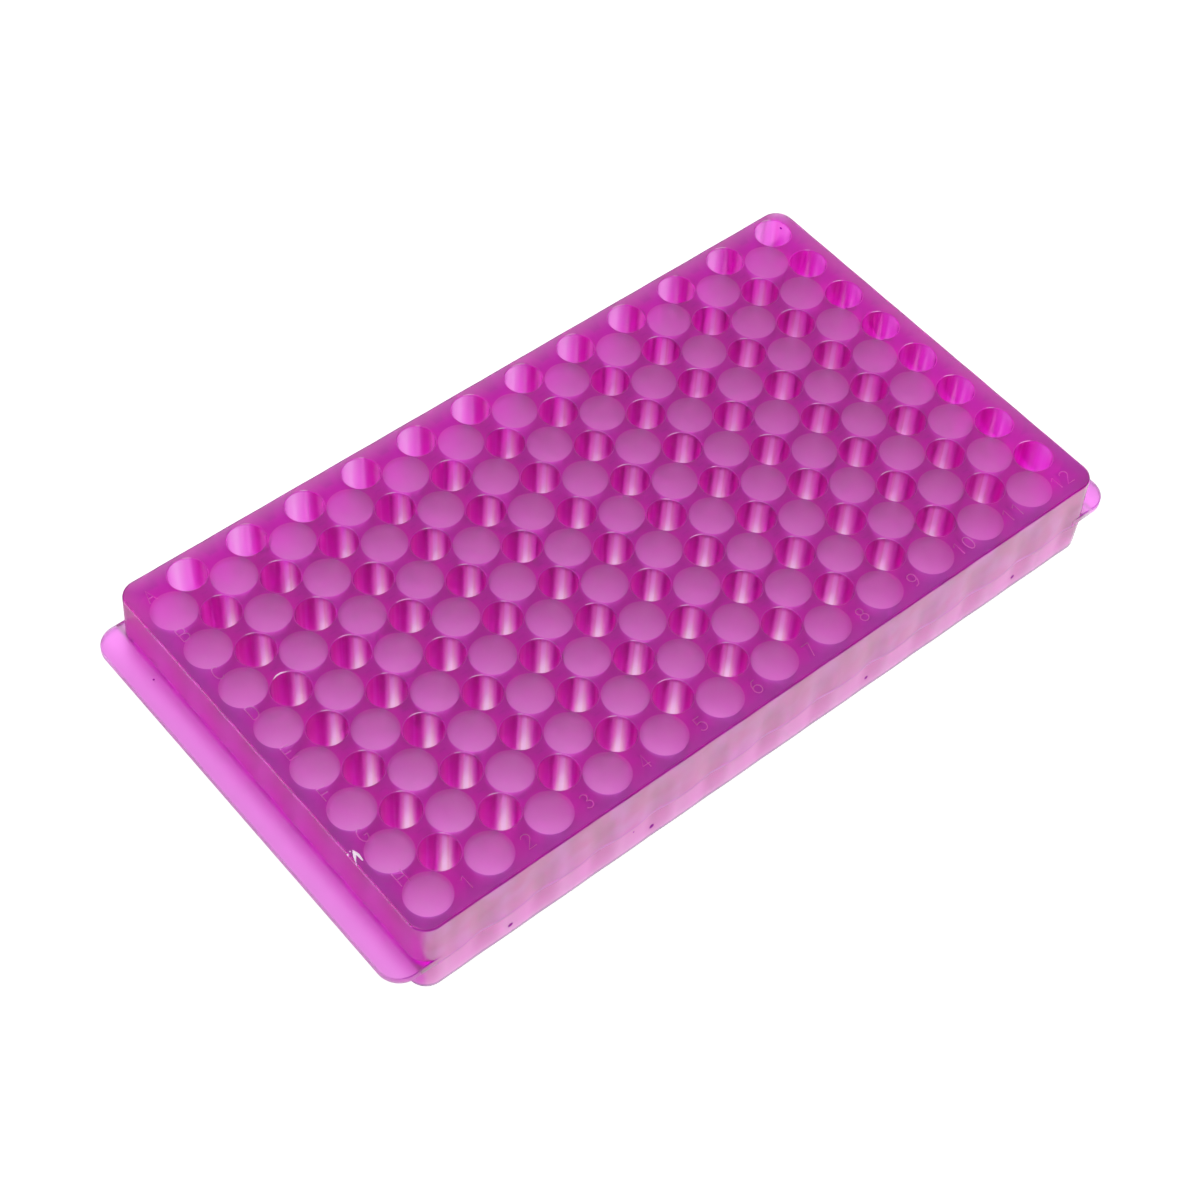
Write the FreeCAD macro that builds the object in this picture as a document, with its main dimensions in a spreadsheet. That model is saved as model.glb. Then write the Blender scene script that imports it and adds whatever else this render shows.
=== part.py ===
import FreeCAD, Part
import math
import os
import Sketcher

# A double-sided microcentrifuge tube rack, moulded in one piece of polypropylene.
# The origin is the middle of the base. X runs along the rack, from column 1 to column 12,
# Y from row H at the front to row A at the back, and Z is up. Sizes are in millimetres.
#
# The mould parts at the underside of the end flanges. Everything above that plane tapers inwards
# on its way up and everything below it tapers inwards on its way down, so both halves draw.
# Small wells open in the top face and wide wells open in the underside. The two fields have the
# same pitch and sit half a pitch apart, so each small well stands between four wide ones.

SIZES = [
    ("height", 24.0, "overall height"),
    ("body_length", 206.0, "block, at the parting plane"),
    ("body_width", 116.0, "block and flanges, at the parting plane"),
    ("body_corner", 4.8, "upright corners of the block"),
    ("parting_height", 9.4, "parting plane above the base"),
    ("draft", 1.4, "degrees, outer walls"),
    ("edge_round", 0.5, "rounding of the top and bottom rims"),
    ("flange_length", 220.5, "over both end flanges"),
    ("flange_thick", 2.25, "end flanges"),
    ("flange_corner", 5.8, "corners of the flanges"),
    ("flange_round", 0.4, "rounding of the flanges' upper edge"),
    ("columns", 12, "wells along X"),
    ("rows", 8, "wells along Y"),
    ("pitch_x", 16.5, "column to column"),
    ("pitch_y", 13.5, "row to row"),
    ("field_shift_y", 0.8, "both well fields, towards the back"),
    ("small_bore", 9.3, "diameter of the wells for 0.5 mL tubes"),
    ("wide_bore", 11.1, "diameter of the wells for 1.5 and 2.0 mL tubes"),
    ("floor_thick", 1.2, "closed end of every well"),
]


def make_sheet(doc):
    """The driving sizes, one row each: name, value, note."""
    sheet = doc.addObject("Spreadsheet::Sheet", "Sizes")
    for row, (name, value, note) in enumerate(SIZES, start=1):
        sheet.set(f"A{row}", name)
        sheet.set(f"B{row}", str(value))
        sheet.set(f"C{row}", note)
        sheet.setAlias(f"B{row}", name)
    doc.recompute()
    return sheet


def origin_item(body, role):
    """One of the body's own origin planes or axes."""
    return next(item for item in body.Origin.OriginFeatures if item.Role == role)


def new_sketch(body, name, height):
    """A sketch parallel to the base, at a height given by an expression."""
    sketch = body.newObject("Sketcher::SketchObject", name)
    sketch.AttachmentSupport = [(origin_item(body, "XY_Plane"), "")]
    sketch.MapMode = "FlatFace"
    sketch.setExpression(".AttachmentOffset.Base.z", height)
    return sketch


def rounded_rectangle(sketch, length, width, radius):
    """Four lines and four tangent arcs centred on the origin, driven by three expressions."""
    x, y, r = 50.0, 30.0, 5.0  # only a start: the three driven constraints set the real size
    up = FreeCAD.Vector(0, 0, 1)
    ends = [
        ((-x + r, -y), (x - r, -y)),
        ((x, -y + r), (x, y - r)),
        ((x - r, y), (-x + r, y)),
        ((-x, y - r), (-x, -y + r)),
    ]
    centres = [(x - r, -y + r), (x - r, y - r), (-x + r, y - r), (-x + r, -y + r)]
    for start, end in ends:
        sketch.addGeometry(Part.LineSegment(FreeCAD.Vector(*start, 0), FreeCAD.Vector(*end, 0)), False)
    for quarter, centre in enumerate(centres):
        circle = Part.Circle(FreeCAD.Vector(*centre, 0), up, r)
        first = (quarter - 1) * math.pi / 2
        sketch.addGeometry(Part.ArcOfCircle(circle, first, first + math.pi / 2), False)
    constraints = []
    for side in range(4):
        arc = 4 + side
        constraints.append(Sketcher.Constraint("Tangent", side, 2, arc, 1))
        constraints.append(Sketcher.Constraint("Tangent", arc, 2, (side + 1) % 4, 1))
    constraints += [
        Sketcher.Constraint("Horizontal", 0),
        Sketcher.Constraint("Vertical", 1),
        Sketcher.Constraint("Horizontal", 2),
        Sketcher.Constraint("Vertical", 3),
        Sketcher.Constraint("Equal", 4, 5),
        Sketcher.Constraint("Equal", 5, 6),
        Sketcher.Constraint("Equal", 6, 7),
        Sketcher.Constraint("Symmetric", 4, 3, 6, 3, -1, 1),
    ]
    for constraint in constraints:
        sketch.addConstraint(constraint)
    driven = [
        (Sketcher.Constraint("DistanceX", 3, 1, 1, 1, 2 * x), length),
        (Sketcher.Constraint("DistanceY", 0, 1, 2, 1, 2 * y), width),
        (Sketcher.Constraint("Radius", 4, r), radius),
    ]
    for constraint, expression in driven:
        index = sketch.addConstraint(constraint)
        sketch.setExpression(f"Constraints[{index}]", expression)


def pad(body, name, outline, length, downwards=False):
    """Pad an outline away from the parting plane, tapering inwards by the draft."""
    feature = body.newObject("PartDesign::Pad", name)
    feature.Profile = outline
    feature.Reversed = downwards
    feature.setExpression("Length", length)
    feature.setExpression("TaperAngle", "-Sizes.draft")
    outline.Visibility = False
    return feature


def round_rim(body, name, base, height, radius):
    """Fillet the closed rim of edges that lie at one height."""
    edges = [
        f"Edge{index}"
        for index, edge in enumerate(base.Shape.Edges, start=1)
        if abs(edge.BoundBox.ZMin - height) < 1e-6 and abs(edge.BoundBox.ZMax - height) < 1e-6
    ]
    feature = body.newObject("PartDesign::Fillet", name)
    feature.Base = (base, edges)
    feature.setExpression("Radius", radius)
    return feature


def well_field(body, name, mouth_height, bore, side, upwards):
    """One round blind well, repeated over all columns and rows.

    side is -1 or +1: each field stands a quarter of a pitch from the middle of both fields.
    """
    sketch = new_sketch(body, f"{name}_mouth", mouth_height)
    sketch.addGeometry(Part.Circle(FreeCAD.Vector(-50, -30, 0), FreeCAD.Vector(0, 0, 1), 5.0), False)
    column_x = f"{side} * Sizes.pitch_x / 4 - (Sizes.columns - 1) / 2 * Sizes.pitch_x"
    row_y = f"Sizes.field_shift_y + {side} * Sizes.pitch_y / 4 - (Sizes.rows - 1) / 2 * Sizes.pitch_y"
    driven = [
        (Sketcher.Constraint("DistanceX", 0, 3, -1, 1, 50.0), f"-({column_x})"),
        (Sketcher.Constraint("DistanceY", 0, 3, -1, 1, 30.0), f"-({row_y})"),
        (Sketcher.Constraint("Diameter", 0, 10.0), bore),
    ]
    for constraint, expression in driven:
        index = sketch.addConstraint(constraint)
        sketch.setExpression(f"Constraints[{index}]", expression)

    well = body.newObject("PartDesign::Pocket", f"{name}_first")
    well.Profile = sketch
    well.Reversed = upwards
    well.setExpression("Length", "Sizes.height - Sizes.floor_thick")
    sketch.Visibility = False

    field = body.newObject("PartDesign::MultiTransform", name)
    field.Originals = [well]
    steps = []
    for axis, count, pitch in (("X_Axis", "columns", "pitch_x"), ("Y_Axis", "rows", "pitch_y")):
        step = body.newObject("PartDesign::LinearPattern", f"{name}_{count}")
        step.Direction = (origin_item(body, axis), [""])
        step.setExpression("Occurrences", f"Sizes.{count}")
        step.setExpression("Length", f"(Sizes.{count} - 1) * Sizes.{pitch}")
        steps.append(step)
    field.Transformations = steps
    body.Tip = field
    return well, field


def make_rack(doc, sheet):
    body = doc.addObject("PartDesign::Body", "Rack")
    body.Label = "rack"

    flange_outline = new_sketch(body, "flange_outline", "Sizes.parting_height")
    rounded_rectangle(flange_outline, "Sizes.flange_length", "Sizes.body_width", "Sizes.flange_corner")
    flange = pad(body, "flange", flange_outline, "Sizes.flange_thick")
    doc.recompute()
    round_rim(body, "flange_rim", flange, sheet.parting_height + sheet.flange_thick, "Sizes.flange_round")

    upper_outline = new_sketch(body, "upper_outline", "Sizes.parting_height")
    rounded_rectangle(upper_outline, "Sizes.body_length", "Sizes.body_width", "Sizes.body_corner")
    pad(body, "upper_block", upper_outline, "Sizes.height - Sizes.parting_height")

    lower_outline = new_sketch(body, "lower_outline", "Sizes.parting_height")
    rounded_rectangle(lower_outline, "Sizes.body_length", "Sizes.body_width", "Sizes.body_corner")
    lower = pad(body, "lower_block", lower_outline, "Sizes.parting_height", downwards=True)
    doc.recompute()

    top_rim = round_rim(body, "top_rim", lower, sheet.height, "Sizes.edge_round")
    doc.recompute()
    round_rim(body, "bottom_rim", top_rim, 0.0, "Sizes.edge_round")
    doc.recompute()
    block_volume = body.Shape.Volume

    well_field(body, "small_wells", "Sizes.height", "Sizes.small_bore", 1, upwards=False)
    doc.recompute()
    small_volume = block_volume - body.Shape.Volume
    well_field(body, "wide_wells", "0", "Sizes.wide_bore", -1, upwards=True)
    doc.recompute()
    wide_volume = block_volume - small_volume - body.Shape.Volume
    print(f"block {block_volume / 1000:.1f} cm3, small wells {small_volume / 1000:.1f} cm3,"
          f" wide wells {wide_volume / 1000:.1f} cm3, left {body.Shape.Volume / 1000:.1f} cm3")
    return body


def check(doc, bodies):
    """Stop if any feature failed or any body isn't one valid closed solid."""
    for item in doc.Objects:
        if "Invalid" in item.State or "Error" in item.State:
            raise RuntimeError(f"{item.Name} failed: {item.State}")
    for body in bodies:
        shape = body.Shape
        if shape.isNull() or not shape.isValid() or len(shape.Solids) != 1:
            raise RuntimeError(f"{body.Label} isn't one valid solid")


doc = FreeCAD.newDocument("MicrotubeRack")
sheet = make_sheet(doc)
rack = make_rack(doc, sheet)
check(doc, [rack])
os.makedirs("parts", exist_ok=True)
rack.Shape.exportStep(f"parts/{rack.Label}.step")
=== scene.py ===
# %% [markdown]
# # A two-sided rack for microcentrifuge tubes
#
# The rack is one injection moulding in translucent magenta polypropylene. Small wells open on
# one face and wide wells on the other, and the two fields sit side by side in a chequer, so
# that each floor of a wide well shows on the top face as a pale disc. Everything about its
# look comes from how far light travels through the dyed plastic. For that reason the moulding
# is modelled as one closed skin, with its true walls and floors, and gets a real volume.

# %% Load the frame
import math

import bmesh
import bpy
from mathutils import Matrix, Vector


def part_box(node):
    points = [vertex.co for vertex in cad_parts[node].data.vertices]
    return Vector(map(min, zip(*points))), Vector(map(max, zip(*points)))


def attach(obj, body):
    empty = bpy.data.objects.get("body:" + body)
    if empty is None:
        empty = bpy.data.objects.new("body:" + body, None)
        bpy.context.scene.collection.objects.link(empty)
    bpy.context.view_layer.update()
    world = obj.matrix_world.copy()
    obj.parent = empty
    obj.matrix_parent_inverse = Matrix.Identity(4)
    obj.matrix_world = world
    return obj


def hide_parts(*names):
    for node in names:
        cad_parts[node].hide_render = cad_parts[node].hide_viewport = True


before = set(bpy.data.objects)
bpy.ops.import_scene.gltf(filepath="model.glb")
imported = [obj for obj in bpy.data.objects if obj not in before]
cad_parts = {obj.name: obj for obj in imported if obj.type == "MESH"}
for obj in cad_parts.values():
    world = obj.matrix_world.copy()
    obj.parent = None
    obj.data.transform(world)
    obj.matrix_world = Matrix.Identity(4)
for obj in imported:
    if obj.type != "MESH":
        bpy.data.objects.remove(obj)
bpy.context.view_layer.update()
low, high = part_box("rack")
print("the moulding is", [round(1000 * side, 2) for side in high - low], "mm")

# %% [markdown]
# ## Sizes
#
# The overall sizes are read from the frame, so the pieces fit it by themselves. The others
# are the sizes a mould maker would write down, in metres. A parting line runs round the rack
# at the underside of its two end flanges, and the walls lean inwards from it both ways.

# %% Name the sizes
MM = 0.001
HEIGHT = high.z
WIDTH = high.y - low.y
FLANGE_LENGTH = high.x - low.x
BODY_LENGTH = 206 * MM
BODY_CORNER = 4.8 * MM
EDGE_ROUND = 0.5 * MM
PARTING_HEIGHT = 9.4 * MM
DRAFT = math.tan(math.radians(1.4))
FLANGE_THICK = 2.25 * MM
FLANGE_CORNER = 5.8 * MM
FLANGE_ROUND = 0.4 * MM
TOUCHING = 1e-6  # places closer than this, in metres, count as one

COLUMNS, ROWS = 12, 8
PITCH = Vector((16.5 * MM, 13.5 * MM, 0))
FIELD_SHIFT_Y = 0.8 * MM
SMALL_BORE, WIDE_BORE = 9.3 * MM, 11.1 * MM
FLOOR = 1.2 * MM
MOUTH_ROUND = 0.35 * MM


def well_place(column, row, side):
    """The axis of a well: side is 1 for the small wells and -1 for the wide ones."""
    x = (column - (COLUMNS - 1) / 2 + side / 4) * PITCH.x
    y = (row - (ROWS - 1) / 2 + side / 4) * PITCH.y + FIELD_SHIFT_Y
    return Vector((x, y, 0))


print("first small well at", [round(1000 * c, 3) for c in well_place(0, 0, 1)], "mm")

# %% [markdown]
# ## Working by hand in code
#
# An operator acts on whatever is selected. These helpers clear the selection, open one piece
# in edit mode and pick its edges or points by their place, as a box selection would.

# %% Helpers for selecting
def only(piece):
    """Makes one piece the selected and active one."""
    bpy.ops.object.select_all(action="DESELECT")
    piece.select_set(True)
    bpy.context.view_layer.objects.active = piece


def open_piece(piece):
    """Enters edit mode with nothing selected."""
    only(piece)
    bpy.ops.object.mode_set(mode="EDIT")
    bpy.ops.mesh.select_all(action="DESELECT")


def close_piece(piece):
    """Leaves edit mode."""
    bpy.ops.object.mode_set(mode="OBJECT")
    return piece


def pick_points(piece, test):
    """Selects the points whose place passes the test, and no others."""
    bpy.ops.mesh.select_mode(type="VERT")
    bpy.ops.mesh.select_all(action="DESELECT")
    mesh = bmesh.from_edit_mesh(piece.data)
    for point in mesh.verts:
        point.select_set(bool(test(point.co)))
    mesh.select_flush_mode()
    bmesh.update_edit_mesh(piece.data)


def pick_edges(piece, test):
    """Selects the edges whose two end points pass the test together, and no others."""
    bpy.ops.mesh.select_mode(type="EDGE")
    bpy.ops.mesh.select_all(action="DESELECT")
    mesh = bmesh.from_edit_mesh(piece.data)
    for edge in mesh.edges:
        edge.select_set(bool(test(edge.verts[0].co, edge.verts[1].co)))
    bmesh.update_edit_mesh(piece.data)


def at(value, goal):
    """True where a coordinate lies on a level, to a thousandth of a millimetre."""
    return abs(value - goal) < TOUCHING


def ring_cut(height):
    """Cuts a ring of edges round the open piece at one height."""
    bpy.ops.mesh.select_all(action="SELECT")
    bpy.ops.mesh.bisect(plane_co=(0, 0, height), plane_no=(0, 0, 1))


def finish_with(piece, kind, **settings):
    """Adds a modifier with these settings and applies it."""
    only(piece)
    modifier = piece.modifiers.new(kind.title(), kind)
    for name, value in settings.items():
        setattr(modifier, name, value)
    bpy.ops.object.modifier_apply(modifier=modifier.name)
    return piece


def slab(name, size, centre, corner, segments=10):
    """A block with its four upright edges rounded."""
    bpy.ops.mesh.primitive_cube_add(size=1, location=centre)
    piece = bpy.context.object
    piece.name = piece.data.name = name
    piece.scale = size
    bpy.ops.object.transform_apply(location=True, rotation=True, scale=True)
    open_piece(piece)
    pick_edges(piece, lambda a, b: abs(a.z - b.z) > size[2] / 2)
    bpy.ops.mesh.bevel(offset=corner, segments=segments, profile=0.5)
    return close_piece(piece)


# %% [markdown]
# ## The body
#
# The body could be one plain box with a bevel, but a moulded block leans inwards from its
# parting line, or it would never leave the mould. So the box gets rounded upright corners
# and a ring of edges at the parting line, and its top and bottom outlines are drawn in by
# the draft. Where the mould halves meet, a hair of plastic is squeezed out: the ring at the
# parting line stands that much proud of its neighbours.

# %% Block out the body
FLASH = 0.06 * MM
FLASH_HALF = 0.13 * MM
LOWER_RINGS, UPPER_RINGS = (0.3, 0.65), (0.22, 0.5, 0.78)  # shares of each half's height
body = slab("rack_moulding", (BODY_LENGTH - 2 * FLASH, WIDTH - 2 * FLASH, HEIGHT),
            (0, 0, HEIGHT / 2), BODY_CORNER)
open_piece(body)
ring_cut(PARTING_HEIGHT)


def scale_ring(level, grow):
    """Draws the outline at one height out by a distance, or in if it is negative."""
    pick_points(body, lambda place: at(place.z, level))
    bpy.ops.transform.resize(value=(1 + 2 * grow / BODY_LENGTH, 1 + 2 * grow / WIDTH, 1),
                             center_override=(0, 0, level))


scale_ring(HEIGHT, -(HEIGHT - PARTING_HEIGHT) * DRAFT)
scale_ring(0, -PARTING_HEIGHT * DRAFT)
for share in LOWER_RINGS:
    ring_cut(PARTING_HEIGHT * share)
for share in UPPER_RINGS:
    ring_cut(PARTING_HEIGHT + (HEIGHT - PARTING_HEIGHT) * share)
ring_cut(PARTING_HEIGHT - FLASH_HALF)
ring_cut(PARTING_HEIGHT + FLASH_HALF)
scale_ring(PARTING_HEIGHT, FLASH)
close_piece(body)
print(len(body.data.vertices), "points in the drafted block")

# %% [markdown]
# ## Sink waves
#
# Thick plastic shrinks more than thin plastic as it cools. Behind the long walls it is thick
# beside each well that lies further in, and there the wall is drawn in a little. The walls
# are divided along their length, and each point is then moved in by the depth of the nearest
# dip. Vertex moves suit this better than a texture, because the waves show on the outline.

# %% Divide the walls and round the rims
LONG_CUTS, SHORT_CUTS = 143, 71
open_piece(body)
for level in (HEIGHT, 0):
    pick_points(body, lambda place: at(place.z, level))
    bpy.ops.mesh.delete(type="ONLY_FACE")
for axis, cuts, span in ((0, LONG_CUTS, BODY_LENGTH / 2), (1, SHORT_CUTS, WIDTH / 2)):
    pick_edges(body, lambda a, b: abs(a[axis] - b[axis]) > span)
    bpy.ops.mesh.subdivide(number_cuts=cuts)
for level in (HEIGHT, 0):
    pick_edges(body, lambda a, b: at(a.z, level) and at(b.z, level))
    bpy.ops.mesh.edge_face_add()
    pick_edges(body, lambda a, b: at(a.z, level) and at(b.z, level))
    bpy.ops.mesh.bevel(offset=EDGE_ROUND, segments=3, profile=0.5)
close_piece(body)
print(len(body.data.vertices), "points with divided walls and rounded rims")


# %% Draw the walls in beside the thick plastic
def smooth(value, start, end):
    """0 before start, 1 after end, and a smooth step between them."""
    share = min(max((value - start) / (end - start), 0), 1)
    return share * share * (3 - 2 * share)


def dip(along, centre, pitch):
    """1 at each well axis and 0 between them, with narrow dips and broad flats."""
    return ((1 + math.cos(2 * math.pi * (along - centre) / pitch)) / 2) ** 2


def depth_at(height, bottom, parting, top):
    """The depth of a wave, given at the bottom edge, the parting line and the top edge."""
    if height < PARTING_HEIGHT:
        return bottom + (parting - bottom) * height / PARTING_HEIGHT
    return parting + (top - parting) * (height - PARTING_HEIGHT) / (HEIGHT - PARTING_HEIGHT)


# how deep a skin moves with the wall, and how far beyond a corner the dips fade in
WALL_BAND, DIP_FADE = 1.2 * MM, 6 * MM
# each wall: the axis across it, its side, the field of wells whose places its dips follow,
# and the depth of the dips at the bottom edge, the parting line and the top edge
WAVES = (
    (1, -1, 1, (0.06 * MM, 0.60 * MM, 0.03 * MM)),
    (1, 1, -1, (0.05 * MM, 0.20 * MM, 0.05 * MM)),
    (0, -1, 1, (0.05 * MM, 0.12 * MM, 0.06 * MM)),
    (0, 1, -1, (0.05 * MM, 0.12 * MM, 0.06 * MM)),
)
half = Vector((BODY_LENGTH / 2, WIDTH / 2, 0))
moved = 0
for across, side, wells, depths in WAVES:
    along = 1 - across
    first = well_place(0, 0, wells)[along]
    for point in body.data.vertices:
        place = point.co
        if side * place[across] < half[across] - WALL_BAND:
            continue
        fade = smooth(half[along] - abs(place[along]), BODY_CORNER, BODY_CORNER + DIP_FADE)
        wave = dip(place[along], first, PITCH[along]) * depth_at(place.z, *depths) * fade
        place[across] -= side * wave
        moved += wave > 0
print(moved, "wall points moved in")

# %% [markdown]
# ## The end flanges
#
# A thin lip stands out at each end, for the fingers. Each one is a slab with rounded outer
# corners, sunk well into the body and joined to it by a union, so that the two share one skin
# and light runs from one into the other with no wall between them.

# %% Make the flanges and join them to the body
FLANGE_ROOT = 6 * MM
flange = slab("flange", (FLANGE_LENGTH, WIDTH - 2 * FLASH, FLANGE_THICK),
              (0, 0, PARTING_HEIGHT + FLANGE_THICK / 2), FLANGE_CORNER)
open_piece(flange)
for level in (PARTING_HEIGHT, PARTING_HEIGHT + FLANGE_THICK):
    pick_edges(flange, lambda a, b: at(a.z, level) and at(b.z, level))
    bpy.ops.mesh.bevel(offset=FLANGE_ROUND, segments=2, profile=0.5)
for side in (1, -1):
    inner = side * (BODY_LENGTH / 2 - FLANGE_ROOT)
    bpy.ops.mesh.select_all(action="SELECT")
    bpy.ops.mesh.bisect(plane_co=(inner, 0, 0), plane_no=(1, 0, 0))
pick_points(flange, lambda place: abs(place.x) < BODY_LENGTH / 2 - FLANGE_ROOT + TOUCHING)
bpy.ops.mesh.delete(type="ONLY_FACE")
for side in (1, -1):
    inner = side * (BODY_LENGTH / 2 - FLANGE_ROOT)
    pick_edges(flange, lambda a, b: at(a.x, inner) and at(b.x, inner))
    bpy.ops.mesh.edge_face_add()
bpy.ops.mesh.select_all(action="SELECT")
bpy.ops.mesh.normals_make_consistent(inside=False)
close_piece(flange)
print(len(flange.data.polygons), "faces in the two flanges")
finish_with(body, "BOOLEAN", operation="UNION", solver="EXACT", object=flange)
bpy.data.objects.remove(flange)
print(len(body.data.polygons), "faces in the body with its flanges")

# %% [markdown]
# ## Index characters
#
# The columns are numbered and the rows lettered in thin raised lines, as a mould maker cuts
# them with a small round tool. A text object would give filled letters with thick and thin
# parts. So each character is drawn with a few straight and curved strokes, each stroke is
# given the round section of the tool, and all of them are joined to the top face.

# %% Draw the characters as strokes in a unit box
BOW_STEP = 30


def bow(x, y, width, height, start, end):
    """Points along part of an ellipse, from one angle to another in degrees."""
    count = max(2, round(abs(end - start) / BOW_STEP)) + 1
    turns = [math.radians(start + (end - start) * k / (count - 1)) for k in range(count)]
    return [(x + width * math.cos(turn), y + height * math.sin(turn)) for turn in turns]


STROKES = {
    "A": [[(0, 0), (0.5, 1), (1, 0)], [(0.19, 0.38), (0.81, 0.38)]],
    "B": [[(0, 0), (0, 1)], [(0, 1)] + bow(0.5, 0.77, 0.42, 0.23, 90, -90) + [(0, 0.54)],
          [(0, 0)] + bow(0.52, 0.27, 0.48, 0.27, -90, 90)],
    "C": [bow(0.5, 0.5, 0.5, 0.5, 45, 315)],
    "D": [[(0, 1), (0, 0)], [(0, 1)] + bow(0.42, 0.5, 0.58, 0.5, 90, -90) + [(0, 0)]],
    "E": [[(1, 1), (0, 1), (0, 0), (1, 0)], [(0, 0.52), (0.8, 0.52)]],
    "F": [[(1, 1), (0, 1), (0, 0)], [(0, 0.52), (0.8, 0.52)]],
    "G": [bow(0.5, 0.5, 0.5, 0.5, 45, 345) + [(0.98, 0.45), (0.55, 0.45)]],
    "H": [[(0, 0), (0, 1)], [(1, 0), (1, 1)], [(0, 0.52), (1, 0.52)]],
    "0": [bow(0.5, 0.5, 0.5, 0.5, 90, 450)],
    "1": [[(0.1, 0.78), (0.55, 1), (0.55, 0)]],
    "2": [bow(0.5, 0.73, 0.5, 0.27, 165, -35) + [(0, 0), (1, 0)]],
    "3": [bow(0.46, 0.76, 0.42, 0.24, 150, -90), bow(0.46, 0.26, 0.5, 0.26, 90, -150)],
    "4": [[(0.72, 0), (0.72, 1), (0, 0.3), (1, 0.3)]],
    "5": [[(0.92, 1), (0.12, 1), (0.06, 0.56)] + bow(0.46, 0.32, 0.52, 0.32, 120, -150)],
    "6": [bow(0.5, 0.3, 0.5, 0.3, 180, 540), bow(0.75, 0.3, 0.75, 0.68, 180, 80)],
    "7": [[(0, 1), (1, 1), (0.4, 0)]],
    "8": [bow(0.5, 0.76, 0.42, 0.24, 90, 450), bow(0.5, 0.27, 0.5, 0.27, 90, 450)],
    "9": [bow(0.5, 0.7, 0.5, 0.3, 0, 360), bow(0.25, 0.7, 0.75, 0.68, 0, -100)],
}
TALL, BROAD, GAP = 3.75 * MM, 2.1 * MM, 1.0 * MM
LINE_RADIUS, LINE_RISE = 0.21 * MM, 0.15 * MM


def stroke_word(curve, word, centre):
    """Adds the strokes of one or two characters to a curve, centred on a place."""
    length = len(word) * BROAD + (len(word) - 1) * GAP
    for index, character in enumerate(word):
        left = centre.x - length / 2 + index * (BROAD + GAP)
        for stroke in STROKES[character]:
            line = curve.splines.new("POLY")
            line.points.add(len(stroke) - 1)
            for point, (across, up) in zip(line.points, stroke):
                point.co = (left + across * BROAD, centre.y + (up - 0.5) * TALL, 0, 1)


# %% Set the characters out and join them to the top face
NUMBER_Y = -52.6 * MM
LETTER_X = -97.0 * MM
curve = bpy.data.curves.new("index", "CURVE")
curve.dimensions = "3D"
curve.bevel_depth = LINE_RADIUS
curve.bevel_resolution = 1
curve.use_fill_caps = True
for column in range(COLUMNS):
    place = Vector((well_place(column, 0, 1).x, NUMBER_Y, 0))
    stroke_word(curve, str(column + 1), place)
for row, letter in enumerate("HGFEDCBA"):
    place = Vector((LETTER_X, well_place(0, row, 1).y, 0))
    stroke_word(curve, letter, place)
index = bpy.data.objects.new("index", curve)
bpy.context.scene.collection.objects.link(index)
index.location.z = HEIGHT + LINE_RISE - LINE_RADIUS
only(index)
bpy.ops.object.convert(target="MESH")
bpy.ops.object.transform_apply(location=True, rotation=True, scale=True)
print(len(index.data.polygons), "faces in the index")
finish_with(body, "BOOLEAN", operation="UNION", solver="EXACT", use_self=True, object=index)
bpy.data.objects.remove(index)
print(len(body.data.polygons), "faces with the index joined on")

# %% [markdown]
# ## The wells
#
# A well could be cut with a plain cylinder, but a moulded one has a softly rounded mouth and a
# rounded corner round its floor, and both catch the light. So the cutter is a cylinder with
# its floor edge bevelled and its mouth opened out in three small steps. It is modelled once,
# set out over the field by two arrays, and taken from the body in one difference. Each cutter
# has only 32 sides, since there are 192 wells.

# %% Model the two cutters and set them out
WELL_SIDES = 32
FLOOR_ROUND = 0.6 * MM
OVERSHOOT = 1 * MM


def well_field(name, side, bore):
    """Every well of one field as one cutting piece. Side 1 opens upwards and -1 downwards."""
    place = well_place(0, 0, side)
    depth = HEIGHT - FLOOR + OVERSHOOT
    bpy.ops.mesh.primitive_cylinder_add(vertices=WELL_SIDES, radius=bore / 2, depth=depth,
                                        location=place + Vector((0, 0, FLOOR + depth / 2)))
    piece = bpy.context.object
    piece.name = piece.data.name = name
    bpy.ops.object.transform_apply(location=True, rotation=True, scale=True)
    open_piece(piece)
    pick_edges(piece, lambda a, b: at(a.z, FLOOR) and at(b.z, FLOOR))
    bpy.ops.mesh.bevel(offset=FLOOR_ROUND, segments=2, profile=0.5)
    steps = []
    for degrees in (0, 45, 90):
        turn = math.radians(degrees)
        steps.append((HEIGHT - MOUTH_ROUND * (1 - math.sin(turn)),
                      MOUTH_ROUND * (1 - math.cos(turn))))
    for level, flare in steps:
        ring_cut(level)
    for level, flare in steps[1:] + [(HEIGHT + OVERSHOOT, MOUTH_ROUND)]:
        pick_points(piece, lambda point: at(point.z, level))
        grow = 1 + 2 * flare / bore
        bpy.ops.transform.resize(value=(grow, grow, 1), center_override=place)
    if side < 0:
        bpy.ops.mesh.select_all(action="SELECT")
        bpy.ops.transform.resize(value=(1, 1, -1), center_override=(0, 0, HEIGHT / 2))
    bpy.ops.mesh.select_all(action="SELECT")
    bpy.ops.mesh.normals_make_consistent(inside=False)
    close_piece(piece)
    for count, step in ((COLUMNS, (PITCH.x, 0, 0)), (ROWS, (0, PITCH.y, 0))):
        finish_with(piece, "ARRAY", count=count, use_relative_offset=False,
                    use_constant_offset=True, constant_offset_displace=step)
    print(name, "has", len(piece.data.polygons), "faces")
    return piece


for cutter in (well_field("small_wells", 1, SMALL_BORE), well_field("wide_wells", -1, WIDE_BORE)):
    finish_with(body, "BOOLEAN", operation="DIFFERENCE", solver="MANIFOLD", object=cutter)
    bpy.data.objects.remove(cutter)
    print(len(body.data.polygons), "faces left in the moulding")

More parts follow.
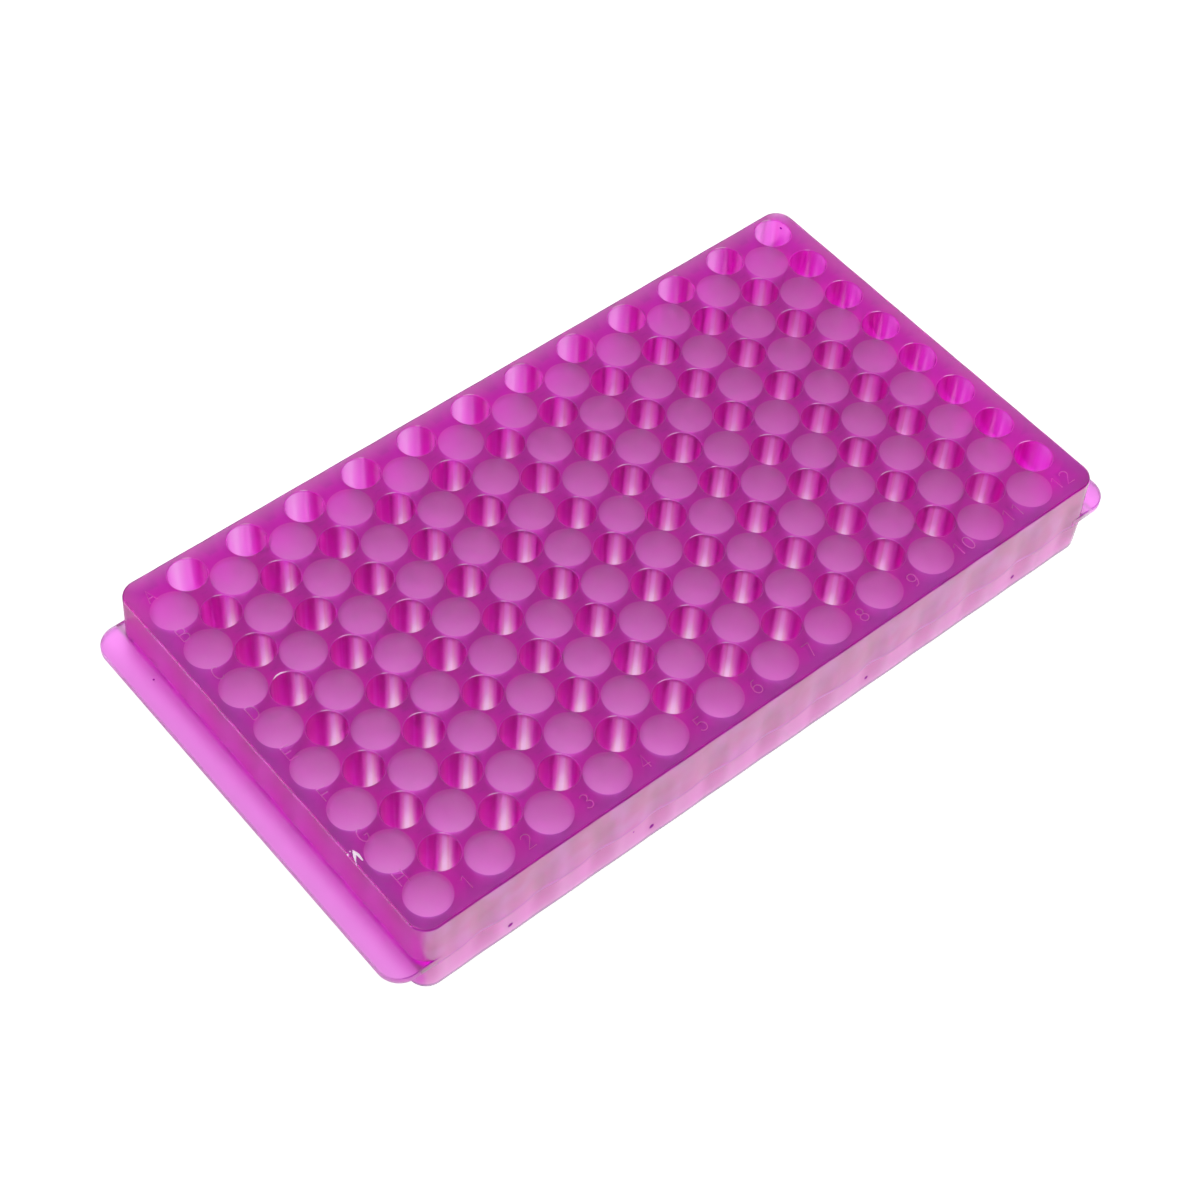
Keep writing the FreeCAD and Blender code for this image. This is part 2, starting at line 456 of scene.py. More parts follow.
# %% Clean the skin and smooth its rounded edges
MERGE_GAP, SMOOTH_ANGLE = 0.002 * MM, 40
open_piece(body)
bpy.ops.mesh.select_all(action="SELECT")
bpy.ops.mesh.remove_doubles(threshold=MERGE_GAP)
bpy.ops.mesh.normals_make_consistent(inside=False)
close_piece(body)
finish_with(body, "TRIANGULATE", min_vertices=5, keep_custom_normals=False)
only(body)
bpy.ops.object.shade_smooth_by_angle(angle=math.radians(SMOOTH_ANGLE))
finish_with(body, "WEIGHTED_NORMAL", keep_sharp=True)
print(len(body.data.polygons), "faces in the finished moulding")

# %% [markdown]
# ## The plastic
#
# Dyed polypropylene has no single colour. Where it is thin it is pale pink, and where light
# has come a long way through it, it is a deep magenta. One base colour would lose that, so
# the plastic is clear, with a dye through its volume that takes out green first. A small
# share of the light is turned back at the surface, because the real plastic is milky.
#
# One clear material would still look too even, because thick plastic cools slowly and goes
# cloudy. Scattering through the whole volume could give that, but it is slow and noisy. So
# each region of the surface gets a tint, a roughness and a coat of its own. Several of the
# tints are painted shade and painted light, standing in for the way light falls through the part.

# %% Helpers for shader nodes
def add_node(kind, inputs=None, tree=None, **settings):
    """A node in the given tree, or else in the tree that its linked inputs come from.

    Each input is a link or a plain value, by name or number.
    """
    inputs = inputs or {}
    links = [value for value in inputs.values() if isinstance(value, bpy.types.NodeSocket)]
    tree = tree or links[0].id_data
    node = tree.nodes.new("ShaderNode" + kind)
    for name, value in settings.items():
        setattr(node, name, value)
    for socket, value in inputs.items():
        if isinstance(value, bpy.types.NodeSocket):
            tree.links.new(value, node.inputs[socket])
        else:
            node.inputs[socket].default_value = value
    return node


def sums(operation, first, second=0.0):
    """One step of arithmetic."""
    return add_node("Math", {0: first, 1: second}, operation=operation).outputs[0]


def vector_sum(operation, first, second=(0, 0, 0)):
    """One step of arithmetic on a vector. Three of the operations put out a single number."""
    node = add_node("VectorMath", {0: first, 1: second}, operation=operation)
    single = operation in ("LENGTH", "DISTANCE", "DOT_PRODUCT")
    return node.outputs["Value" if single else "Vector"]


def rising(value, span, low=0.0, high=1.0):
    """A smooth step from low to high as a value crosses a span."""
    start, end = span
    return add_node("MapRange", {"Value": value, "From Min": start, "From Max": end,
                                 "To Min": low, "To Max": high},
                    interpolation_type="SMOOTHSTEP").outputs["Result"]


def falling(value, span, top=1.0):
    """A smooth step from the top down to 0 as a value crosses a span."""
    return rising(value, span, top, 0.0)


def blend_values(mask, first, second):
    """The first value where the mask is 0 and the second where it is 1."""
    return add_node("Mix", {0: mask, 2: first, 3: second}, data_type="FLOAT").outputs[0]


def blend_colours(mask, first, second, how="MIX"):
    """The first colour where the mask is 0 and the second where it is 1."""
    return add_node("Mix", {0: mask, 6: first, 7: second}, data_type="RGBA",
                    blend_type=how).outputs[2]


# %% [markdown]
# ## Masks
#
# The regions could be faces with materials of their own, but then each border would be hard
# and would follow the edges of the mesh. A mask is a number at each point of the surface: 1
# inside a region, 0 outside it, and in between where the region fades out. Each one is worked
# out from the place and the normal of the surface, so it stays with the part from every side,
# though the masks that paint light and shade are laid out for the light of this tent. The
# wells stand at an even pitch, so one node group finds the nearest well
# and measures the distance to its axis, for either field.

# %% Helpers for masks
def both(first, second):
    """Where two masks meet."""
    return sums("MULTIPLY", first, second)


def either(first, second):
    """Where at least one of two masks is."""
    return sums("MAXIMUM", first, second)


def opposite(mask):
    """Where a mask isn't."""
    return sums("SUBTRACT", 1.0, mask)


def away(value, level):
    """How far a value is from a level, up or down."""
    return sums("ABSOLUTE", sums("SUBTRACT", value, level))


def lay_over(blend, base, layers):
    """Lays colours or values over a base in turn, each one where its mask is 1."""
    for mask, layer in layers:
        base = blend(mask, base, layer)
    return base


# %% A node group that measures the distance to the nearest well
def make_well_distance():
    """Distance from the axis of the nearest well of one field, in metres."""
    group = bpy.data.node_groups.new("well_distance", "ShaderNodeTree")
    for name, way, kind in (("Place", "INPUT", "Vector"), ("First well", "INPUT", "Vector"),
                            ("Distance", "OUTPUT", "Float")):
        group.interface.new_socket(name, in_out=way, socket_type="NodeSocket" + kind)
    start = group.nodes.new("NodeGroupInput")
    end = group.nodes.new("NodeGroupOutput")
    pitch = (PITCH.x, PITCH.y, 1)
    offset = vector_sum("SUBTRACT", start.outputs["Place"], start.outputs["First well"])
    steps = vector_sum("DIVIDE", offset, pitch)
    nearest = vector_sum("FLOOR", vector_sum("ADD", steps, (0.5, 0.5, 0)))
    inside = vector_sum("MINIMUM", vector_sum("MAXIMUM", nearest), (COLUMNS - 1, ROWS - 1, 0))
    apart = vector_sum("SUBTRACT", offset, vector_sum("MULTIPLY", inside, pitch))
    level = vector_sum("MULTIPLY", apart, (1, 1, 0))
    group.links.new(vector_sum("LENGTH", level), end.inputs["Distance"])
    return group


WELL_DISTANCE = make_well_distance()
print("the group puts out", [item.name for item in WELL_DISTANCE.interface.items_tree][-1:])

# %% Start the plastic and read the place and the normal of its surface
plastic = bpy.data.materials.new("dyed_polypropylene")
plastic.use_nodes = True
tree = plastic.node_tree
shader = tree.nodes["Principled BSDF"]
surface = add_node("TexCoord", tree=tree).outputs
point_x, point_y, height = add_node("SeparateXYZ", {0: surface["Object"]}).outputs
# a normal turns round for light that comes from inside, so only its size is used
across_x, across_y, upright = [
    sums("ABSOLUTE", part) for part in add_node("SeparateXYZ", {0: surface["Normal"]}).outputs]
from_middle = sums("ABSOLUTE", point_x)
distance = {side: add_node("Group", {"Place": surface["Object"],
                                     "First well": well_place(0, 0, side)},
                           node_tree=WELL_DISTANCE).outputs["Distance"] for side in (1, -1)}
print(len(tree.nodes), "nodes read the surface")

# %% Mask the level faces, the wells and the outer walls
FLAT, LEANING = (0.95, 0.99), (0.1, 0.25)          # how far a normal points up or down
TURNED_END, TURNED_FRONT = (0.5, 0.8), (0.3, 0.7)  # how far it points along x or y
LEVEL_GAP, BORE_GAP, FLOOR_GAP = 0.02 * MM, 0.1 * MM, 0.05 * MM
SMALL_EDGE, WIDE_EDGE = SMALL_BORE / 2, WIDE_BORE / 2

flat = rising(upright, FLAT)
edge = both(rising(upright, LEANING), opposite(flat))
on_top = both(flat, sums("LESS_THAN", away(height, HEIGHT), LEVEL_GAP))
at_base = both(flat, sums("LESS_THAN", height, LEVEL_GAP))
face = either(on_top, at_base)

from_small = sums("SUBTRACT", distance[1], SMALL_EDGE)
from_wide = sums("SUBTRACT", distance[-1], WIDE_EDGE)
disc = both(on_top, falling(distance[-1], (WIDE_EDGE - BORE_GAP, WIDE_EDGE + BORE_GAP)))
in_small = sums("LESS_THAN", distance[1], SMALL_EDGE + BORE_GAP)
in_wide = both(sums("LESS_THAN", distance[-1], WIDE_EDGE + BORE_GAP),
               sums("LESS_THAN", height, HEIGHT - FLOOR + FLOOR_GAP))
under_disc = both(in_wide, flat)
in_well = either(in_small, in_wide)

outside = both(opposite(face), opposite(in_well))
off_flange = sums("LESS_THAN", from_middle, BODY_LENGTH / 2 + BORE_GAP)
on_flange = opposite(off_flange)
wall = both(outside, off_flange)
# painted shade: the left end and the front walls get darker tints than the right end and the back
left_end = both(sums("LESS_THAN", point_x, 0), both(wall, rising(across_x, TURNED_END)))
front = both(sums("LESS_THAN", point_y, 0), both(wall, rising(across_y, TURNED_FRONT)))
print(len(tree.nodes), "nodes with the main masks")

# %% Mask the rim, the thick posts and the open parts of the deck, where light and shade are painted
# a mask fades within each span: first the spans measured inwards from the outline
RIM_SPAN, BY_RIM, OUTER_WELLS = (0.5 * MM, 7 * MM), (7 * MM, 12 * MM), (9 * MM, 12 * MM)
# the gap beyond a well's edge where a post counts as thick, and where the deck is open
POST_WEB, POST_INWARD = (0.46 * MM, 0.58 * MM), (2.5 * MM, 5 * MM)
OPEN_SPAN, OPEN_BY_RIM = (1.5 * MM, 3.2 * MM), 0.5
# from the front left, below 0, to the back right, above 0
LIT_SPAN, LIT_LEAN = (-0.3, 0.7), 1.3

inward = sums("MINIMUM", sums("SUBTRACT", BODY_LENGTH / 2, from_middle),
              sums("SUBTRACT", WIDTH / 2, sums("ABSOLUTE", point_y)))
margin = both(falling(inward, RIM_SPAN), on_top)
# painted light and shade: the rim is lighter at the back and the right, and darker in front and
# on the left, where the tent is dimmer
backward = sums("ADD", sums("DIVIDE", point_x, BODY_LENGTH / 2),
                sums("DIVIDE", point_y, WIDTH / 2 / LIT_LEAN))
lit = rising(backward, LIT_SPAN)
lit_rim = both(margin, lit)
shade = sums("SUBTRACT", margin, lit_rim)
outer_well = both(in_small, both(falling(inward, OUTER_WELLS), lit))

# where the plastic behind a small well is thick, its wall gets painted shade
thick = both(rising(either(from_small, from_wide), POST_WEB), rising(inward, POST_INWARD))
clear_of_wells = sums("MINIMUM", from_small, from_wide)
# painted shade on the solid parts of the deck and on a band inside the rim
open_deck_shade = both(on_top, either(falling(inward, BY_RIM, OPEN_BY_RIM),
                                rising(clear_of_wells, OPEN_SPAN)))
print(len(tree.nodes), "nodes with the deck's masks")

# %% Mask the rounded edges, the seam, the flanges and the characters
MOUTH_REACH = 1.2 * MOUTH_ROUND
END_EDGE = (0.1, 0.3)  # how far a normal points along y
OVER_SEAM, FOOT_SPAN = (0.1 * MM, 0.9 * MM), (1.1 * MM, 1.6 * MM)
LIP_SPAN, ROOT_SPAN = (106 * MM, 110 * MM), (0, 1.2 * MM)
RAISED_GAP = 0.01 * MM

near_well = either(sums("LESS_THAN", distance[1], SMALL_EDGE + MOUTH_REACH),
                   sums("LESS_THAN", distance[-1], WIDE_EDGE + MOUTH_REACH))
mouth = both(edge, near_well)
end_edge = both(sums("SUBTRACT", edge, mouth), falling(across_y, END_EDGE))

seam = both(wall, sums("LESS_THAN", away(height, PARTING_HEIGHT), FLASH_HALF))
# painted shadow on the front wall just above the flash of the parting line
over = sums("SUBTRACT", height, PARTING_HEIGHT + FLASH_HALF)
seam_shadow = both(front, both(sums("GREATER_THAN", over, 0), falling(over, OVER_SEAM)))
# painted contact shadow along the foot of the outer walls
contact_shadow = both(outside, falling(height, FOOT_SPAN))

# painted shade over the outer ends of the flanges, and in the creases where they meet the walls
lip = both(on_flange, rising(from_middle, LIP_SPAN))
above_root = away(height, PARTING_HEIGHT + FLANGE_THICK)
beside_root = away(from_middle, BODY_LENGTH / 2)
root = both(both(outside, falling(above_root, ROOT_SPAN)), falling(beside_root, ROOT_SPAN))
raised = sums("GREATER_THAN", height, HEIGHT + RAISED_GAP)
print(len(tree.nodes), "nodes with the edges' masks")

# %% [markdown]
# ## Bands, lines, clouds and specks
#
# The wells behind the front wall show through it as soft dark bands. The clear body gives
# some of that by itself, and a wave at the pitch of the wells deepens it with painted shade.
# The mould leaves fine upright lines in the bores, slow cooling leaves cloudy patches, and a
# little dirt is caught under the skin. Painted pictures could show all this, but noise and
# distances are measured in real sizes, need no files and have no seams.

# %% Draw the bands, the lines, the clouds and the specks
BAND_SHIFT, BAND_WAVE = 1.7 * MM, (-0.5, 1.0)
BAND_TOP, BAND_FOOT, BAND_FOOT_SHARE = (16 * MM, 23.5 * MM), (0, 8 * MM), 0.3
LINE_SIZE, LINE_STRETCH, LINE_SPAN = 0.9 * MM, (1, 1, 0.02), (0.4, 0.65)
LINE_FACING, LINE_EXTRA = (0.7, 0.95), 0.12
CLOUD_SIZE, CLOUD_SPAN = 7 * MM, (0.35, 0.65)
# specks of dirt under the skin: x, y, z and radius in millimetres
SPECKS = (
    (-78.5, -57.8, 4.3, 0.8), (-37.6, -57.8, 4.2, 0.85), (28.9, -57.8, 4.4, 0.7),
    (77.9, -57.8, 4.3, 0.75), (-43.5, -57.8, 8.0, 0.3), (-105.2, 39.5, 11.6, 0.3),
    (99.3, 52.9, 22.0, 0.4),
)
SPECK_CORE, SPECK_REACH = 0.7, 1.1


def noise(place, size, detail):
    """A soft random pattern with features of one size, between 0 and 1."""
    return add_node("TexNoise", {"Vector": place, "Scale": 1 / size,
                                 "Detail": detail}).outputs["Fac"]


# the wells behind the front wall show through it as bands of painted shade, which fade out
# towards its two edges
along_front = sums("SUBTRACT", point_x, well_place(0, 0, 1).x + BAND_SHIFT)
wave = sums("COSINE", sums("DIVIDE", along_front, PITCH.x / math.tau))
band_shade = both(rising(wave, BAND_WAVE), falling(height, BAND_TOP))
band_shade = both(band_shade, rising(height, BAND_FOOT, BAND_FOOT_SHARE, 1))

lines = noise(vector_sum("MULTIPLY", surface["Object"], LINE_STRETCH), LINE_SIZE, 1)
facing = rising(across_y, LINE_FACING, 0, LINE_EXTRA)
streaky = rising(sums("ADD", lines, facing), LINE_SPAN)
cloudy = rising(noise(surface["Object"], CLOUD_SIZE, 1), CLOUD_SPAN)
speck = 0.0
for x, y, z, radius in SPECKS:
    gap = vector_sum("DISTANCE", surface["Object"], (x * MM, y * MM, z * MM))
    dot = falling(gap, (SPECK_CORE * radius * MM, SPECK_REACH * radius * MM))
    speck = either(dot, speck)
print(len(tree.nodes), "nodes with the bands, lines, clouds and specks")

# %% [markdown]
# ## Tints, roughness and coat
#
# The finishes are laid over each other like coats of paint, each where its mask is 1, so the
# later one shows where two meet. One long sum could do the same, but a list can be read and
# put in another order. A tint is the share of red, green and blue light that gets through
# the surface, going in and coming out.
#
# The level faces are matt, the wells are satin and the edges at the two ends are smooth. A
# coat with a strong reflection stands for haze. It is full on the front wall, the bright rim
# and the wells beside that, weaker on the discs, the deck and the wide wells, and missing on
# the flanges.

# %% Lay the tints over each other
CLEAR = (1, 1, 1, 1)
# painted shade and light: the front wall is darker than the back, and paler low down where the
# table lights it; clouds vary its upper part at random
LOWER_FRONT_SHADE = (0.80, 0.98, 0.62, 1)
UPPER_FRONT_SHADE, HAZE_FRONT_SHADE = (0.60, 0.46, 0.43, 1), (0.66, 0.76, 0.64, 1)
# painted shade: the left end wall is darker than the right end, as the light falls
BAND_SHADE_TINT, END_SHADE_TINT = (0.56, 0.16, 0.42, 1), (0.60, 0.56, 0.51, 1)
# painted shade on the walls of small wells with thick plastic behind them; the lines are mould
# marks
THICK_POST_SHADE, LINE_TINT = (0.92, 0.90, 0.72, 1), (0.84, 0.70, 0.60, 1)
WIDE_TINT, DECK_TINT = (1.0, 0.96, 0.97, 1), (0.92, 0.30, 0.90, 1)
# painted shade on the solid parts of the deck and on the front and left rim
OPEN_DECK_SHADE, SHADE_TINT = (0.58, 0.22, 0.66, 1), (0.44, 0.22, 0.58, 1)
DISC_TINT, CLOUD_TINT = (1.0, 0.72, 1.0, 1), (1.0, 0.64, 1.0, 1)
# painted shade: a dark line along the rounded edges; the ends' edges keep the deck's colour
DARK_EDGE_SHADE, END_EDGE_TINT = (0.42, 0.22, 0.50, 1), (1.0, 0.40, 1.0, 1)
# painted highlight: the rounded mouths of the wells are lighter than the other edges; the specks
# are dirt
MOUTH_HIGHLIGHT_TINT, SPECK_TINT = (1.0, 0.60, 1.0, 1), (0.14, 0.0, 0.18, 1)
# the thin flash at the parting line is paler, partly as painted highlight, with a painted shadow
# just above it
SEAM_FLASH_HIGHLIGHT, SEAM_SHADOW_TINT = (0.60, 1.0, 0.54, 1), (0.60, 0.56, 0.60, 1)
# painted shade in the creases where the flanges meet the walls, and over the flanges' outer ends
ROOT_SHADE_TINT, LIP_SHADE_TINT = (0.60, 0.90, 0.60, 1), (0.84, 0.82, 0.84, 1)
# painted contact shadow: the lowest millimetre or so of the outer walls is dark grey
FOOT_SHADOW_TINT = (0.30, 0.30, 0.32, 1)

# painted shade on the front wall, paler below the parting line as painted light from the table
upper = sums("GREATER_THAN", height, PARTING_HEIGHT)
front_shade_colour = blend_colours(upper, LOWER_FRONT_SHADE, blend_colours(cloudy, UPPER_FRONT_SHADE, HAZE_FRONT_SHADE))
banded = blend_colours(band_shade, front_shade_colour, BAND_SHADE_TINT, "MULTIPLY")
# painted shade on the thick posts, with the mould's upright lines over it
post_shade_and_lines = blend_colours(streaky, THICK_POST_SHADE, LINE_TINT)
colour = lay_over(blend_colours, CLEAR, (
    (front, banded), (left_end, END_SHADE_TINT), (in_wide, WIDE_TINT),
    (in_small, blend_colours(thick, CLEAR, post_shade_and_lines)), (face, DECK_TINT),
    (open_deck_shade, OPEN_DECK_SHADE), (shade, SHADE_TINT), (lit_rim, CLEAR),
    (disc, blend_colours(cloudy, DISC_TINT, CLOUD_TINT)), (edge, DARK_EDGE_SHADE),
    (end_edge, END_EDGE_TINT), (mouth, MOUTH_HIGHLIGHT_TINT), (seam_shadow, SEAM_SHADOW_TINT),
    (seam, SEAM_FLASH_HIGHLIGHT), (raised, CLEAR), (lip, LIP_SHADE_TINT), (root, ROOT_SHADE_TINT),
    (contact_shadow, FOOT_SHADOW_TINT), (speck, SPECK_TINT)))
tree.links.new(colour, shader.inputs["Base Color"])
print(len(tree.nodes), "nodes with the tints")

# %% Lay the roughness and the coat in the same way
ROUGH_FAR, ROUGH_WALL, ROUGH_WELL, ROUGH_UNDER = 0.35, 0.7, 0.37, 0.9
ROUGH_DECK, ROUGH_DISC, ROUGH_END_EDGE, ROUGH_INDEX = 0.85, 0.5, 0.25, 0.4
NO_COAT, FULL_COAT = 0.0, 1.0
END_COAT, WIDE_COAT, DECK_COAT, RIM_COAT = 0.25, 0.6, 0.25, 0.7
ROOT_COAT, DISC_COAT, MOUTH_COAT = 0.3, 0.6, 0.35

rough = lay_over(blend_values, ROUGH_FAR, (
    (either(left_end, front), ROUGH_WALL), (on_flange, ROUGH_WALL), (in_well, ROUGH_WELL),
    (under_disc, ROUGH_UNDER), (face, ROUGH_DECK), (disc, ROUGH_DISC), (edge, ROUGH_DECK),
    (end_edge, ROUGH_END_EDGE), (raised, ROUGH_INDEX)))
tree.links.new(rough, shader.inputs["Roughness"])

coat = lay_over(blend_values, front, (
    (left_end, END_COAT), (on_flange, NO_COAT), (in_wide, WIDE_COAT), (face, DECK_COAT),
    (margin, RIM_COAT), (lit_rim, FULL_COAT), (outer_well, FULL_COAT), (root, ROOT_COAT),
    (disc, DISC_COAT), (edge, NO_COAT), (mouth, MOUTH_COAT)))
coat = either(coat, either(seam, either(end_edge, raised)))
tree.links.new(blend_values(speck, coat, NO_COAT), shader.inputs["Coat Weight"])
print(len(tree.nodes), "nodes with the roughness and the coat")

# %% [markdown]
# ## Cutter marks and dye
#
# Faint level rings run round every wall, where the mould's cutter passed. They are a hundredth
# of a millimetre deep and don't change the outline, so a bump gives them with no geometry.
# The dye is an absorption through the volume. Its colour is the light that it spares, and its
# density is counted for each metre, so a part with walls of a millimetre needs a high one.

# %% Add the cutter marks and the dye, and finish the moulding
RING_SIZE, RING_STRETCH, MARK_DEPTH = 0.3 * MM, (0.05, 0.05, 1), 0.01 * MM
DYE, DYE_DENSITY = (0.98, 0.0, 0.948, 1), 450
CLEAR_SHARE = 0.96
PLASTIC_IOR, COAT_IOR, COAT_ROUGHNESS = 1.3, 2.0, 0.1

rings = noise(vector_sum("MULTIPLY", surface["Object"], RING_STRETCH), RING_SIZE, 0)
bump = add_node("Bump", {"Height": rings, "Distance": MARK_DEPTH})
tree.links.new(bump.outputs["Normal"], shader.inputs["Normal"])
shader.inputs["Transmission Weight"].default_value = CLEAR_SHARE
shader.inputs["IOR"].default_value = PLASTIC_IOR
shader.inputs["Coat IOR"].default_value = COAT_IOR
shader.inputs["Coat Roughness"].default_value = COAT_ROUGHNESS
dye = add_node("VolumeAbsorption", {"Color": DYE, "Density": DYE_DENSITY}, tree)
tree.links.new(dye.outputs["Volume"], tree.nodes["Material Output"].inputs["Volume"])

body.data.materials.clear()
body.data.materials.append(plastic)
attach(body, "root")
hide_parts("rack")
print(len(tree.nodes), "nodes in the plastic")

# %% [markdown]
# ## Torn flakes and arcs of painted highlight
#
# Where the moulding was trimmed or knocked, a few flakes of plastic still hang on: a forked
# one on the left rim, two beads beside it, and a curl on the mouth of one well. The back edge
# of each small mouth carries a thin white arc as well, no two alike, which is a painted
# highlight where the rounded mouth catches the light. Each flake could be
# sculpted, but a curve with a radius at each point gives a tapered prong in a few numbers.
#
# Torn plastic goes white, because it is full of tiny cracks. The flakes and arcs also get a
# faint glow, which is painted light: it stands for light that has come to their edges from inside
# the plastic.

# %% List the flakes, and work out the arcs of painted highlight
# each point: x, y, z in millimetres and share of the full radius
FLAKES = (
    ((-101.0, -31.3, 24.0, 0.3), (-100.9, -32.0, 24.0, 0.8), (-100.75, -33.1, 24.1, 1.1),
     (-100.8, -34.7, 24.1, 0.5)),
    ((-101.1, -31.7, 24.0, 0.6), (-101.5, -32.8, 24.0, 1.1), (-101.9, -33.5, 24.0, 0.6),
     (-102.4, -34.8, 23.7, 0.3)),
    ((-102.3, -31.3, 23.7, 0.75), (-102.35, -31.7, 23.7, 0.75)),
    ((-101.6, -31.1, 24.0, 0.45), (-101.6, -31.4, 24.0, 0.45)),
    ((-88.3, 15.45, 23.9, 0.2), (-87.2, 15.8, 24.0, 0.5), (-86.0, 15.8, 24.0, 0.55),
     (-84.9, 15.5, 23.9, 0.2)),
)
FLAKE_RADIUS, FLAKE_SMOOTH = 0.3 * MM, 60
# the arcs of painted highlight on the back edges of the small mouths
ARC_SHARE, ARC_STEPS = 0.22, 6
ARC_START, ARC_TURN = (38, 22), (14, 30)  # in degrees: the least, and what chance adds
ARC_OUTSET, ARC_SINK = 0.18, 0.03         # in millimetres
CHANCE_SEED = (12.9, 78.2, 43758.5)           # any numbers that leave no pattern to see


def mouth_glint_arcs():
    """A thin white arc on the back edge of each small mouth, no two alike: a painted highlight.
    """
    arcs = []
    by_column, by_row, stretch = CHANCE_SEED
    for column in range(COLUMNS):
        for row in range(ROWS):
            centre = well_place(column, row, 1) / MM
            chance = math.sin(by_column * column + by_row * row) * stretch % 1
            first = ARC_START[0] + ARC_START[1] * chance
            turn = ARC_TURN[0] + ARC_TURN[1] * (chance * 7 % 1)
            reach = SMALL_BORE / 2 / MM + ARC_OUTSET
            arc = []
            for step in range(ARC_STEPS + 1):
                angle = math.radians(first + turn * step / ARC_STEPS)
                swell = math.sin(math.pi * (step + 1) / (ARC_STEPS + 2))
                arc.append((centre.x + reach * math.cos(angle),
                            centre.y + reach * math.sin(angle),
                            HEIGHT / MM - ARC_SINK, ARC_SHARE * swell))
            arcs.append(arc)
    return arcs


prongs = [*FLAKES, *mouth_glint_arcs()]
print(len(prongs), "flakes and arcs")

# %% Draw the flakes as tapered curves
curve = bpy.data.curves.new("flakes", "CURVE")
curve.dimensions = "3D"
curve.bevel_depth = FLAKE_RADIUS
curve.bevel_resolution = 2
curve.use_fill_caps = True
for flake in prongs:
    prong = curve.splines.new("POLY")
    prong.points.add(len(flake) - 1)
    for point, (x, y, z, share) in zip(prong.points, flake):
        point.co = (x * MM, y * MM, z * MM, 1)
        point.radius = share
flakes = bpy.data.objects.new("torn_flakes_and_glint_arcs", curve)
bpy.context.scene.collection.objects.link(flakes)
only(flakes)
bpy.ops.object.convert(target="MESH")
flakes = bpy.context.object
bpy.ops.object.shade_smooth_by_angle(angle=math.radians(FLAKE_SMOOTH))
print(len(flakes.data.polygons), "faces in the flakes")

# %% Whiten the torn plastic and give it a painted glow
PINK, WHITE = (0.95, 0.7, 0.93, 1), (1.0, 0.96, 1.0, 1)
CRACK_SIZE = 0.4 * MM
torn = bpy.data.materials.new("torn_plastic_with_painted_glow")
torn.use_nodes = True
tree = torn.node_tree
cracks = add_node("TexNoise", {
    "Vector": add_node("TexCoord", tree=tree).outputs["Object"], "Scale": 1 / CRACK_SIZE})
shader = tree.nodes["Principled BSDF"]
tree.links.new(blend_colours(cracks.outputs["Fac"], PINK, WHITE), shader.inputs["Base Color"])
shader.inputs["Roughness"].default_value = 0.5
shader.inputs["Transmission Weight"].default_value = 0.1
# painted light: a faint glow on the flakes and arcs, though they are no lamp
shader.inputs["Emission Strength"].default_value = 0.3
torn.cycles.emission_sampling = "NONE"
flakes.data.materials.append(torn)
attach(flakes, "root")
print(len(tree.nodes), "nodes in the torn plastic")

# %% [markdown]
# ## Table and light
#
# The rack stands on a white light table in a soft tent. The table shines from below, which is
# what makes a translucent part glow, and it stays white right up to the part. The tent is
# bright low down and overhead, and dim in between, so that the matt top face doesn't veil its
# colour with a white reflection. It is over twice as bright behind the part as in front, so
# that the far rims and edges shine.

# %% Lay the table
TABLE_SIZE, TABLE_DROP = 30, 0.05 * MM
bpy.ops.mesh.primitive_plane_add(size=TABLE_SIZE, location=(0, 0, -TABLE_DROP))
table = bpy.context.object
table.name = table.data.name = "table"
bpy.ops.object.transform_apply(location=True, rotation=True, scale=True)
paper = bpy.data.materials.new("lit_paper")
paper.use_nodes = True
sheet = paper.node_tree.nodes["Principled BSDF"]
sheet.inputs["Base Color"].default_value = (0.3, 0.3, 0.3, 1)
sheet.inputs["Roughness"].default_value = 0.9
sheet.inputs["Emission Color"].default_value = (1, 1, 1, 1)
sheet.inputs["Emission Strength"].default_value = 1.0
paper.cycles.emission_sampling = "NONE"
table.data.materials.append(paper)
print("the table is", TABLE_SIZE, "m wide")

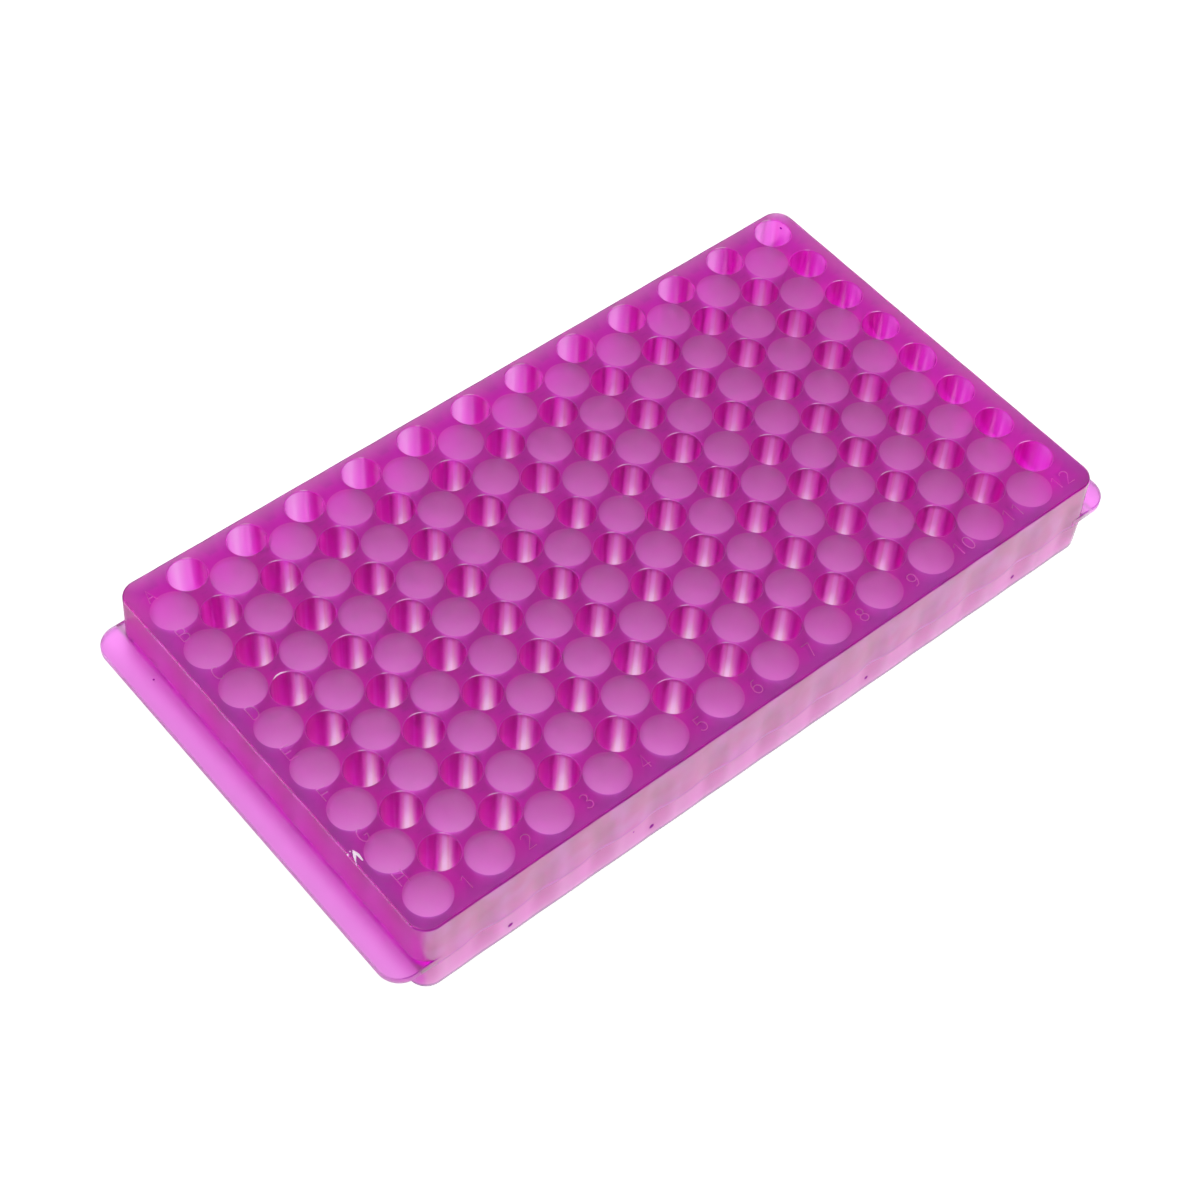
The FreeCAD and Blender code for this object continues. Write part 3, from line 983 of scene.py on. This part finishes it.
# %% Light the tent
# brightness against the sine of the angle above the table, and the way to the bright side
TENT = ((0.0, 0.8), (0.25, 0.8), (0.5, 0.32), (0.9, 0.32), (0.96, 1.2))
FRONT_SHARE, BACK_SHARE = 0.6, 1.4
BACK_WAY = (0.69, 0.72, 0)
world = bpy.data.worlds.new("tent")
bpy.context.scene.world = world
world.use_nodes = True
tree = world.node_tree
way = add_node("TexCoord", tree=tree).outputs["Generated"]
rise = add_node("SeparateXYZ", {0: way}).outputs["Z"]
ramp = add_node("ValToRGB", {0: rise})
ramp.color_ramp.interpolation = "EASE"
brightest = max(value for place, value in TENT)
while len(ramp.color_ramp.elements) < len(TENT):
    ramp.color_ramp.elements.new(0.5)
for element, (place, value) in zip(ramp.color_ramp.elements, TENT):
    element.position = place
    element.color = [value / brightest] * 3 + [1]
behind = vector_sum("DOT_PRODUCT", way, BACK_WAY)
share = add_node("MapRange", {
    "Value": behind, "From Min": -1, "From Max": 1,
    "To Min": FRONT_SHARE * brightest, "To Max": BACK_SHARE * brightest}).outputs["Result"]
tent = sums("MULTIPLY", ramp.outputs["Color"], share)
background = tree.nodes["Background"]
background.inputs["Color"].default_value = (1, 1, 1, 1)
tree.links.new(tent, background.inputs["Strength"])
world.cycles.sampling_method = "NONE"
print(len(tree.nodes), "nodes in the tent")

# %% [markdown]
# ## Light through many walls
#
# Light that reaches the eye has crossed the walls of several wells, and each crossing counts
# as a bounce. With the usual 12, the middle of the rack would go grey, so more are allowed.

# %% Allow more bounces and show colours as they are
BOUNCES = 24
scene = bpy.context.scene
scene.cycles.max_bounces = BOUNCES
scene.cycles.transmission_bounces = BOUNCES
scene.view_settings.view_transform = "Standard"
print("light may bounce", BOUNCES, "times")

# %% Set up the camera
CAMERA_PLACE = Vector((-0.26737, -0.27804, 0.50781))
AIM = Vector((-0.01603, -0.01202, 0.0235))
ROLL = math.radians(4.499)
SENSOR, LENS = 36, 79.08
camera_data = bpy.data.cameras.new("camera")
camera_data.sensor_width = SENSOR
camera_data.lens = LENS
camera = bpy.data.objects.new("camera", camera_data)
scene.collection.objects.link(camera)
turn = (AIM - CAMERA_PLACE).to_track_quat("-Z", "Y").to_matrix().to_4x4()
camera.matrix_world = (Matrix.Translation(CAMERA_PLACE) @ turn
                       @ Matrix.Rotation(ROLL, 4, "Z"))
scene.camera = camera
print("the camera stands", round((AIM - CAMERA_PLACE).length, 3), "m away")
